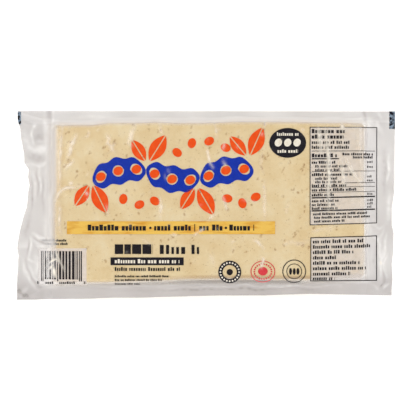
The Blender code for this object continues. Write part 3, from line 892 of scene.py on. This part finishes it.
tofu = {
    "filmGap": 0.3,  # between film and block
    "cell": 0.62, "edgeSteps": 6, "sideRings": 12, "roundRings": 5, "bulge": 0.12,
    "tinyPits": 150, "pitDepth": 0.5,
    # painted shade along the front edge: how far it is as dark as the pits, and how far in; then how dark
    # the painted shade is on the left, right and back edges
    "dampFront": 0.58, "edgeShadeInside": 1.9, "edgeShadeReach": 2.0,
    "edgeShadeLeft": 0.1, "edgeShadeRight": 0.12, "edgeShadeBack": 0.05,
    # the larger pits, in mm from the pack's middle: place and how far the cluster reaches
    "pits": [
        (-98, 51.5, 0.7), (-96.6, 52.4, 0.5), (-95.2, 45.7, 0.6), (-81.8, 37.2, 0.7), (-72, 40.5, 0.8),
        (-64.4, 44, 1), (-98.7, 28.3, 0.9), (-96.2, 30.6, 1.1), (-90.8, 24.3, 0.7), (-91, 21.5, 0.6),
        (-84.6, 13.7, 0.8), (-85.9, 6.3, 0.7), (-84, 1, 0.7), (-51, 56.4, 0.9), (-39.7, 56.2, 0.7),
        (-31.5, 52.8, 0.6), (-33.2, 50.6, 0.6), (-11, 50, 0.6), (-10, 54.7, 0.7), (-55.9, 33.8, 0.6),
        (-58.7, 5.2, 0.7), (-55.5, 10.1, 0.6), (-3.6, 9, 0.6), (14.4, 49.3, 0.7), (23, 46.9, 0.6),
        (2.8, 40.5, 0.6), (41, 55.5, 0.8), (41, 51.5, 0.7), (40.3, 33.5, 0.9), (42.6, 31.7, 0.9),
        (44.2, 33.1, 0.7), (39.6, 26, 0.8), (60.1, 29.6, 0.7), (55.5, 25, 0.7), (68.2, 25.7, 1),
        (70, 28.1, 0.8), (37.1, 17.5, 0.6), (61.9, 10.4, 0.9), (64.7, 7.9, 0.7), (54.8, 5.8, 0.6),
        (25.4, 32.7, 0.6), (53, 33.1, 0.6), (55.8, 32, 0.6), (6.7, 3.7, 0.6), (14.6, 1, 0.7),
        (15.9, -4.1, 0.7), (32.5, -0.5, 0.6), (28.3, -3.4, 0.6), (70, -1.6, 0.8), (70, -4.8, 0.6),
        (-70.7, -5.8, 0.7), (-62.9, -6.5, 0.6), (-64.7, -9.7, 0.6), (-47, -5.5, 0.7), (-14.5, -6.9, 0.6),
        (-22.9, -22.8, 0.6), (-25.8, -24.9, 0.7), (-31.4, -25.3, 0.6), (-8.8, -24.9, 0.7),
        (-70.3, -39.1, 0.7), (-10.2, -41.6, 0.6), (39.2, -22.1, 0.7), (20.8, -25.3, 0.7),
        (19.8, -33.1, 0.6), (28.5, -33.1, 0.6), (62.6, -21, 0.8), (62.2, -23.5, 0.7), (55.8, -26, 0.7),
        (54.8, -28.8, 0.9), (49.1, -31.7, 0.7), (72.8, -29.6, 0.7), (68.9, -28.8, 0.7), (-99.6, -13, 0.8),
        (-99, -15.5, 0.7), (-84, -29.8, 0.6), (76, -16, 0.6), (92.5, -17, 0.7),
    ],
}


def clusteredLine(half, radius):
    # places along a side, evenly spaced over the flat and closer together round the edge
    count = round(2 * (half - radius) / tofu["cell"])
    flat = np.linspace(radius - half, half - radius, count + 1)
    angles = np.arange(1, tofu["edgeSteps"] + 1) * 0.5 * math.pi / tofu["edgeSteps"]
    edge = half - radius + radius * np.sin(angles)
    return np.concatenate([-edge[::-1], flat, edge])


def tofuPits():
    # each pit is a few narrow dents side by side, as air leaves them in pressed curd
    dice = np.random.default_rng(8)
    found = []
    for x, y, reach in tofu["pits"]:
        heading = dice.uniform(0.2, 2.2)
        for _ in range(int(dice.integers(2, 5))):
            dentX = x - blockMiddleX + dice.normal(0, reach * 0.6)
            dentY = y - blockMiddleY + dice.normal(0, reach * 0.8)
            long = reach * dice.uniform(0.5, 1.1)
            lean = heading + dice.normal(0, 0.6)
            wide, strength = dice.uniform(0.36, 0.52), dice.uniform(0.6, 1.0)
            found.append((dentX, dentY, lean, long, wide, strength))
    for _ in range(tofu["tinyPits"]):
        x = dice.uniform(-blockLength / 2 + 3, blockLength / 2 - 3)
        y = dice.uniform(-blockWidth / 2 + 3, blockWidth / 2 - 3)
        long, wide = dice.uniform(0.45, 1.0), dice.uniform(0.4, 0.5)
        found.append((x, y, dice.uniform(0.0, math.pi), long, wide, dice.uniform(0.2, 0.65)))
    return found


def pitted(x, y):
    # how deep each place lies in a pit, from 0 to 1
    depth = np.zeros(np.shape(x))
    for pitX, pitY, heading, long, wide, strength in tofuPits():
        along = (x - pitX) * math.cos(heading) + (y - pitY) * math.sin(heading)
        across = (y - pitY) * math.cos(heading) - (x - pitX) * math.sin(heading)
        away = (along / long) ** 2 + (across / wide) ** 2
        depth = np.maximum(depth, strength * np.exp(-away))
    return depth


def damp(x, y):
    # how dark the painted shade on the block's edges is: most along the front, where the film bridges a
    # gap, and a little on the sides and back
    out = outFrom(x, y)
    front = tofu["dampFront"] * bell(out["Front"], -tofu["edgeShadeInside"], tofu["edgeShadeReach"])
    left = tofu["edgeShadeLeft"] * smooth((out["Left"] + 12) / 5)
    right = tofu["edgeShadeRight"] * smooth((out["Right"] + 3) / 1.6)
    back = tofu["edgeShadeBack"] * smooth((out["Back"] + 3) / 1.6)
    return np.maximum.reduce([front * deepFront(x), left, right, back])


def makeTofu():
    halfX, halfY = blockLength / 2 - tofu["filmGap"], blockWidth / 2 - tofu["filmGap"]
    corner = pack["cornerRadius"] - tofu["filmGap"]
    radius = pack["upperRounding"]
    x, y = np.meshgrid(clusteredLine(halfX, radius), clusteredLine(halfY, radius))
    rows, columns = x.shape
    # corner squares of the grid are drawn in to quarter circles
    overX = np.clip((np.abs(x) - halfX + corner) / corner, 0, 1)
    overY = np.clip((np.abs(y) - halfY + corner) / corner, 0, 1)
    flatX = x - np.sign(x) * overX * (1 - np.sqrt(1 - overY**2 / 2)) * corner
    flatY = y - np.sign(y) * overY * (1 - np.sqrt(1 - overX**2 / 2)) * corner
    away = roundedDistance(flatX, flatY, pack["cornerRadius"]) + tofu["filmGap"]
    rounding = upperRadius(flatX)
    into = np.clip(away / rounding + 1, 0, 1)
    planX, planY = inPlan(flatX, flatY)
    onFace = 1 - smooth((away + 2.5) / 2.5)
    pits = pitted(flatX, flatY) * (1 - smooth((away + 1.5) / 1.5))
    height = filmTop - tofu["filmGap"] - rounding * (1 - np.sqrt(1 - into**2))
    height = height + onFace * faceRelief(planX, planY) - pits * tofu["pitDepth"]
    places = [np.stack([planX, planY, height], axis=-1).reshape(-1, 3)]
    # the pits' values also carry the painted shade along the block's edges
    pitAndShadeValues = [np.maximum(pits, damp(flatX, flatY)).ravel()]
    ring = gridRing(columns, rows)
    edgeX, edgeY, edgeZ = flatX.ravel()[ring], flatY.ravel()[ring], height.ravel()[ring]
    rings = []
    for step in range(1, tofu["sideRings"] + 1):
        down = step / tofu["sideRings"]
        level = edgeZ + (pack["lowerRounding"] - edgeZ) * down
        bulge = tofu["bulge"] * ripple(edgeX + level, edgeY - level, 8, 51) * math.sin(math.pi * down)
        rings.append((pack["pocketDraft"] * down + bulge, level))
    rings += lowerEdge(tofu["roundRings"], tofu["filmGap"])
    for inset, level in rings:
        ringX, ringY = inPlan(edgeX * (1 - inset / halfX), edgeY * (1 - inset / halfY))
        places.append(np.stack([ringX, ringY, np.broadcast_to(level, edgeX.shape)], axis=-1))
        # the block's sides get the painted edge shade too
        pitAndShadeValues.append(damp(edgeX, edgeY))
    faces = gridFaces(columns, rows) + ringFaces(ring, len(rings), rows * columns)
    block = meshPiece(
        "tofu_block", np.concatenate(places), faces, tofuMaterial(),
        {"pitAndShade": np.concatenate(pitAndShadeValues)},
    )
    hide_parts("tofu_pack")
    print("tofu:", len(faces), "faces")


# ink between film and block


def box(left, right, low, high):
    return [(left, low), (right, low), (right, high), (left, high)]


def turned(x, y, along, across, turn):
    # the place that lies this far along and across a line turned about x and y
    return (x + along * math.cos(turn) - across * math.sin(turn),
            y + along * math.sin(turn) + across * math.cos(turn))


def ellipse(x, y, radiusX, radiusY, tilt=0.0, steps=36):
    angles = [math.tau * step / steps for step in range(steps)]
    return [
        turned(x, y, radiusX * math.cos(angle), radiusY * math.sin(angle), math.radians(tilt))
        for angle in angles
    ]


def dotRing(x, y, radiusX, radiusY, dot, count):
    # small dots in a ring
    middles = ellipse(x, y, radiusX, radiusY, steps=count)
    return [ellipse(*middle, dot, dot, steps=10) for middle in middles]


def hoop(x, y, outer, inner, squash=1.0, steps=40):
    # a ring as short four-sided pieces
    pieces = []
    for step in range(steps):
        a, b = math.tau * step / steps, math.tau * (step + 1) / steps
        pieces.append([
            (x + reach * math.cos(angle), y + reach * math.sin(angle) * squash)
            for reach, angle in ((inner, a), (outer, a), (outer, b), (inner, b))
        ])
    return pieces


def frameLines(line, outline):
    # four bars inside a box
    (left, low), _, (right, high), _ = outline
    return [
        box(left, right, high - line, high), box(left, right, low, low + line),
        box(left, left + line, low + line, high - line),
        box(right - line, right, low + line, high - line),
    ]


def blindText(left, right, middle, size, seed, stroke=0.5, gap=0.2, small=0.76):
    # a row of small blocks in word lengths, which stands for print without being any
    dice = np.random.default_rng(seed)
    pieces = []
    x = left
    letters = dice.integers(3, 9)
    while x < right:
        width = size * stroke * dice.uniform(0.7, 1.25)
        tall = size * (1.0 if dice.random() < 0.3 else small)
        pieces.append(box(x, min(x + width, right), middle - size / 2, middle - size / 2 + tall))
        x += width + size * gap
        letters -= 1
        if letters == 0:
            x += size * 0.45
            letters = dice.integers(2, 9)
    return pieces


def clipped(corners, shape):
    # the part of a small face that lies inside a convex shape, seen from above
    for (ax, ay), (bx, by) in zip(shape, shape[1:] + shape[:1]):
        kept = []
        sides = [(bx - ax) * (c[1] - ay) - (by - ay) * (c[0] - ax) for c in corners]
        for index, corner in enumerate(corners):
            side, before = sides[index], sides[index - 1]
            if side * before < 0:
                last = corners[index - 1]
                cut = before / (before - side)
                kept.append(tuple(last[k] + (corner[k] - last[k]) * cut for k in range(3)))
            if side >= 0:
                kept.append(corner)
        corners = kept
        if len(corners) < 3:
            return []
    return corners


def counterClockwise(shape):
    area = sum(a[0] * b[1] - b[0] * a[1] for a, b in zip(shape, shape[1:] + shape[:1]))
    return shape if area > 0 else shape[::-1]


def inkLift(x, y):
    # past the block's right and front edges the print lies over the milky film, not under it
    outX = x - blockMiddleX - blockLength / 2
    frontEdge = blockMiddleY - blockWidth / 2 + pack["blockAskew"] * (0.5 + x / blockLength)
    return sunken["lift"] * max(smooth((outX + 3) / 3), smooth((frontEdge - y + 3.5) / 3))


def slipped(shape):
    # the film was drawn up to the right as it was sealed, and its print with it
    moved = []
    for x, y in shape:
        share = max(x - factsPanel["left"], 0) / (factsPanel["right"] - factsPanel["left"])
        moved.append((x, y + pack["printSlip"] * min(share, 1) * float(bell(y, -10, 64))))
    return moved


def inkPiece(lidCorners, name, shapes, material, depth):
    # cuts the shapes out of the lid film's own faces and sinks them this deep under it
    lifted = 0 < depth < sunken["veil"]
    lowX, highX = lidCorners[:, :, 0].min(1), lidCorners[:, :, 0].max(1)
    lowY, highY = lidCorners[:, :, 1].min(1), lidCorners[:, :, 1].max(1)
    known, places, faces = {}, [], []
    for shape in map(counterClockwise, map(slipped, shapes)):
        xs, ys = [p[0] for p in shape], [p[1] for p in shape]
        near = (lowX < max(xs)) & (highX > min(xs)) & (lowY < max(ys)) & (highY > min(ys))
        for corners in lidCorners[near]:
            part = clipped([tuple(corner) for corner in corners], shape)
            face = []
            for x, y, z in part:
                key = (round(x, 3), round(y, 3))
                if key not in known:
                    known[key] = len(places)
                    places.append((x, y, z - depth + (inkLift(x, y) if lifted else 0)))
                if known[key] not in face:
                    face.append(known[key])
            if len(face) > 2:
                faces.append(tuple(face))
    ink = meshPiece(name, places, faces, material)
    print("ink:", name, len(shapes), "shapes,", len(faces), "faces")
    return ink


# the print: all places in mm from the pack's middle

# how deep each pass of ink lies under the film's face, mm; the marks at the seam are printed on it
sunken = {"veil": 0.16, "field": 0.11, "detail": 0.06, "mark": -0.03, "lift": 0.18}

inks = {
    # solid, second colour, and for some the size, the streakiness and the wear of the patches; the second
    # colour is thinner ink, and on the seam marks a painted glint
    "blue": ("062FA7", "0A36B2"), "orange": ("F0500A", "F45C14"),
    "yellow": ("F2C65E", "DE9F38", 2.6, 5.0, 0.66),
    "black": ("14101A", "221C26"), "red": ("DC3C46", "E04C52"), "light": ("F3EBDD", "EADFCB"),
    # the seam marks' pale blue-grey patches are painted glints of the crinkled film
    "text": ("150F14", "241C20"), "mark": ("14121C", "8292A2", 1.8, 1.0, 0.62),
}


def leaf(x, y, long, wide, tilt):
    # a pointed leaf as two halves, with a bare rib between them
    rib, steps = 0.4, 14
    halves = []
    for side in (1, -1):
        rim = []
        for step in range(steps + 1):
            out = rib + (wide / 2 - rib) * math.sin(math.pi * step / steps) ** 0.85
            rim.append((long * step / steps, side * out))
        flat = [(0.0, side * rib)] + rim[1:-1] + [(long, side * rib)]
        halves.append([turned(x, y, a, b, math.radians(tilt)) for a, b in flat])
    return halves


pods = {
    # middle, tilt and bend of each pod
    "places": [(-61.6, 24.4, 12, -3.4), (-23.6, 18.6, -10, 3.6), (14.4, 24.8, 11, -3.4)],
    "reach": 19.2, "half": 9.9, "window": 4, "bean": 3.5, "slice": 0.6,
}


def podShapes():
    # curved pods with three swellings, each with a bare window; drawn as narrow upright slices
    reach = pods["reach"]
    slices = round(2 * reach / pods["slice"])

    def spansAt(u):
        blunt = max(1 - abs(u / reach) ** 3.2, 0.0) ** 0.5
        half = pods["half"] * blunt * (0.9 + 0.1 * math.cos(3 * math.pi * u / reach))
        centre = round(u / (2 * reach / 3)) * 2 * reach / 3
        window = math.sqrt(max(pods["window"] ** 2 - (u - centre) ** 2, 0.0))
        return [(-half, -window), (window, half)] if half > window else [(0.0, 0.0), (0.0, 0.0)]

    shapes, beans = [], []
    for middleX, middleY, tilt, bend in pods["places"]:

        def place(u, v):
            return turned(middleX, middleY, u, v + bend * (u / reach) ** 2, math.radians(tilt))

        for step in range(slices):
            u0, u1 = (-reach + 2 * reach * (step + k) / slices for k in (0, 1))
            for (low0, high0), (low1, high1) in zip(spansAt(u0), spansAt(u1)):
                if high0 - low0 + high1 - low1 > 0.02:
                    shapes.append([place(u0, low0), place(u1, low1), place(u1, high1), place(u0, high0)])
        for third in (-1, 0, 1):
            beanX, beanY = place(third * 2 * reach / 3, 0)
            beans.append(ellipse(beanX, beanY, pods["bean"], pods["bean"] * 0.86, tilt=25, steps=28))
    return shapes, beans


def sproutLeaves():
    # pairs of leaves that stand at the pods' joints, by turns up and down
    pairs = [(-41, 31.5, 58, 122), (-6.6, 12, -60, -122), (30, 35.5, 66, 130), (-80.8, 14, -64, -124)]
    leaves = []
    for x, y, first, second in pairs:
        leaves += leaf(x + 1.6, y, 21, 11, first) + leaf(x - 1.6, y, 17, 9, second)
    return leaves


def looseBeans():
    # a few beans below and above the pods
    places = [(-58, 4.6), (-46.6, 0.6), (-35.8, 3.2), (-20, 37.4), (-9.6, 44), (2.6, 45.4),
              (14.2, 40.8), (15.4, 5), (26, 1.6), (35.4, 6)]
    return [ellipse(x, y, 3.6, 2.9, tilt=11 * x, steps=24) for x, y in places]


def panelBox(panel):
    return box(panel["left"], panel["right"], panel["low"], panel["high"])


# three round marks in a row and an oval one, as middles
badges = {"dots": (17.1, -47.0), "target": (40.5, -46.7), "beans": (62.6, -46.5), "oval": (58.0, 44.2)}


def blackShapes():
    oval = ellipse(*badges["oval"], 13.0, 10.5)
    return [box(-67.0, -15.4, -42.1, -36.6), oval] + hoop(*badges["dots"], 8.1, 5.0)


def seamMarks():
    # the dark blocks that the packing machine's eye looks for, one cut through at each end
    return [box(130.3, 136.5, 54.3, 68.0), box(-136.5, -130.9, 57.6, 66.6)]


frontText = [
    # rows below the yellow band: from, to, middle, size, seed of the dice
    # then the width of the blocks, the gap between them and the height of the small ones
    (-64.0, -37.2, -30.8, 6.8, 62, 0.78, 0.13, 1.0), (-32.2, -4.6, -31.0, 6.4, 63, 0.34, 0.26),
    (-64.0, -18.1, -44.8, 2.7, 64, 0.4), (-64.0, -25.9, -49.9, 1.5, 39), (-64.0, -30.8, -52.6, 1.5, 34),
    (-64.0, -46.7, -55.4, 1.5, 18), (-115.7, -98.0, -24.6, 1.6, 66), (-115.7, -97.2, -27.0, 1.6, 67),
]
bandText = {
    "middle": -15.6, "size": 4.2,
    "parts": [(-83.1, -41.6), (-36.2, -10.4), (-4.4, 12), (16.8, 34.3)],
}


def textShapes():
    # everything that such a pack prints in dark letters, as blind text and rules
    shapes = [box(-7.9, -7.3, -18.4, -13.0)]
    shapes += [ellipse(x, -15.8, 0.9, 0.9, steps=12) for x in (-38.9, 14.4)]
    for number, (left, right) in enumerate(bandText["parts"]):
        shapes += blindText(left, right, bandText["middle"], bandText["size"], 55 + number, 0.5, 0.13)
    for row in frontText:
        shapes += blindText(*row)
    for panel in (factsPanel, contentsPanel):
        shapes += frameLines(panel["line"], panelBox(panel))
    for left, right, middle, thick in factsPanel["rules"]:
        shapes.append(box(left, right, middle - thick / 2, middle + thick / 2))
    for number, (left, right, middle, size, stroke) in enumerate(factsPanel["rows"]):
        shapes += blindText(left, right, middle, size, 100 + number, stroke)
    for number, middle in enumerate(factsPanel["shares"]):
        shapes += blindText(114.6, 118.6, middle, 1.7, 140 + number, 0.36, 0.3)
    for number, (left, right, middle) in enumerate(contentsPanel["rows"]):
        shapes += blindText(left, right, middle, 2.5, 160 + number, 0.42)
    for number, (start, wide) in enumerate(codePanel["bars"]):
        low = codePanel["longFoot"] if number in codePanel["long"] else codePanel["foot"]
        left = codePanel["barsStart"] + start
        shapes.append(box(left, left + wide, low, codePanel["barsTop"]))
    for number, (left, right) in enumerate(codePanel["digits"]):
        shapes += blindText(left, right, -54.6, 1.9, 120 + number, 0.54, 0.26)
    x, y = badges["beans"]
    shapes += hoop(x, y, 8.35, 7.75) + hoop(x, y, 5.5, 5.05)
    shapes += [ellipse(x + step, y, 1.0, 2.4, steps=16) for step in (-2.6, 0.0, 2.6)]
    return shapes + [ellipse(*badges["dots"], 2.2, 2.2, steps=20)]


def lightShapes():
    # what is printed in light ink over black
    x, y = badges["oval"]
    shapes = blindText(-64.0, -18.4, -39.3, 2.9, 71, 0.5)
    shapes += blindText(50.4, 65.6, 50.4, 2.4, 72, 0.46)
    shapes += [ellipse(x + step, y + 0.2, 2.9, 2.5, tilt=60, steps=24) for step in (-6.6, 0, 6.6)]
    shapes += blindText(50.8, 65.2, 38.4, 2.4, 74, 0.46)
    return shapes + dotRing(*badges["dots"], 6.6, 6.6, 0.62, 20)


def redShapes():
    x, y = badges["target"]
    middle = ellipse(x, y + 0.3, 3.4, 3.0, steps=24)
    return hoop(x, y, 8.7, 8.1, squash=0.89) + [middle] + dotRing(x, y, 6.1, 5.4, 0.6, 22)


def makePrint(lidCorners):
    veils = [
        ("print_veil", [factsPanel, contentsPanel], "veil", "EAE6E6", 0.58),
        ("print_code_veil", [codePanel], "code veil", "F0EAEA", 0.6),
    ]
    for name, panels, backing, white, cover in veils:
        material = backingMaterial(backing + " gravure ink", white, cover)
        shapes = [panelBox(panel) for panel in panels]
        veil = inkPiece(lidCorners, name, shapes, material, sunken["veil"])
        veil.visible_shadow = False
    podParts, podBeans = podShapes()
    passes = [
        ("print_blue", podParts, "blue", "blue_ink", "field"),
        ("print_orange", podBeans + looseBeans() + sproutLeaves(), "orange", "orange_ink", "field"),
        ("print_yellow", [box(-97.8, 49.1, -20.2, -11.1)], "yellow", "yellow_ink", "field"),
        ("print_black", blackShapes(), "black", "black_ink", "field"),
        ("print_marks", seamMarks(), "mark", "black_ink", "mark"),
        ("print_red", redShapes(), "red", "red_ink", "field"),
        ("print_light", lightShapes(), "light", "white_ink", "detail"),
        ("print_text", textShapes(), "text", "black_ink", "detail"),
    ]
    for name, shapes, ink, slotName, depth in passes:
        material = inkMaterial(ink + " gravure ink", *inks[ink])
        inkPiece(lidCorners, name, shapes, material, sunken[depth])


# floor, light and camera

studio = {
    "floor": "F8F8F7", "floorSize": 6.0, "floorGlow": 0.31,
    # walls of light round a dark ceiling, so that flat faces stay free of glare
    "sky": [(0.0, "FFFFFF"), (0.72, "FFFFFF"), (0.93, "6A6A6A")], "skyStrength": 1.32,
    "left": {"place": (-0.58, 0.2, 0.95), "size": (0.22, 0.8), "watts": 1.4},
    "right": {"place": (0.62, 0.15, 0.95), "size": (0.2, 0.7), "watts": 1.0},
    "lens": 120, "sensor": 36.0, "viewWidth": 290.7, "viewLevel": 45.0,  # mm
}


def floorMaterial():
    # matt coated paper sweep: even and pale, a trace of mottle
    material, tree = newMaterial("matt paper sweep")
    place = addNode(tree, "ShaderNodeTexCoord").outputs["Object"]
    mottle = addNode(tree, "ShaderNodeTexNoise", {"Scale": 4.0}, {"Vector": place})
    colour = rampOf(tree, mottle.outputs["Fac"], [(0.3, studio["floor"]), (0.7, "FBFBFA")])
    paper = addNode(
        tree, "ShaderNodeBsdfPrincipled",
        {
            "Roughness": 0.85, "Emission Color": hexToLinear("FFFFFF"),
            "Emission Strength": studio["floorGlow"],
        },
        {"Base Color": colour},
    )
    addNode(tree, "ShaderNodeOutputMaterial", links={"Surface": paper.outputs[0]})
    return material


def makeFloor():
    half = studio["floorSize"] / 2
    mesh = bpy.data.meshes.new("floor")
    mesh.from_pydata([(x, y, 0) for x, y in box(-half, half, -half, half)], [], [(0, 1, 2, 3)])
    mesh.materials.append(floorMaterial())
    floor = bpy.data.objects.new("floor", mesh)
    bpy.context.scene.collection.objects.link(floor)


def softBox(name, settings):
    data = bpy.data.lights.new(name, "AREA")
    data.shape = "RECTANGLE"
    data.size, data.size_y = settings["size"]
    data.energy = settings["watts"]
    lamp = bpy.data.objects.new(name, data)
    bpy.context.scene.collection.objects.link(lamp)
    lamp.location = settings["place"]
    lamp.rotation_euler = (-lamp.location).to_track_quat("-Z", "Y").to_euler()


def makeStudio():
    makeFloor()
    world = bpy.data.worlds.new("white studio")
    world.use_nodes = True
    tree = world.node_tree
    direction = addNode(tree, "ShaderNodeTexCoord").outputs["Generated"]
    height = addNode(tree, "ShaderNodeSeparateXYZ", links={0: direction}).outputs["Z"]
    colour = rampOf(tree, height, studio["sky"])
    tree.links.new(colour, tree.nodes["Background"].inputs["Color"])
    tree.nodes["Background"].inputs["Strength"].default_value = studio["skyStrength"]
    bpy.context.scene.world = world
    softBox("left soft box", studio["left"])
    softBox("right soft box", studio["right"])
    data = bpy.data.cameras.new("camera")
    data.lens, data.sensor_width = studio["lens"], studio["sensor"]
    camera = bpy.data.objects.new("camera", data)
    bpy.context.scene.collection.objects.link(camera)
    rise = studio["viewWidth"] * studio["lens"] / studio["sensor"]
    camera.location = (0, 0, (studio["viewLevel"] + rise) * mm)
    bpy.context.scene.camera = camera
    bpy.context.scene.view_settings.view_transform = "Standard"
    print("studio ready, camera", round(rise), "mm above the pack")


lidTriangles = makeFilm()
makeTofu()
makePrint(lidTriangles)
makeStudio()
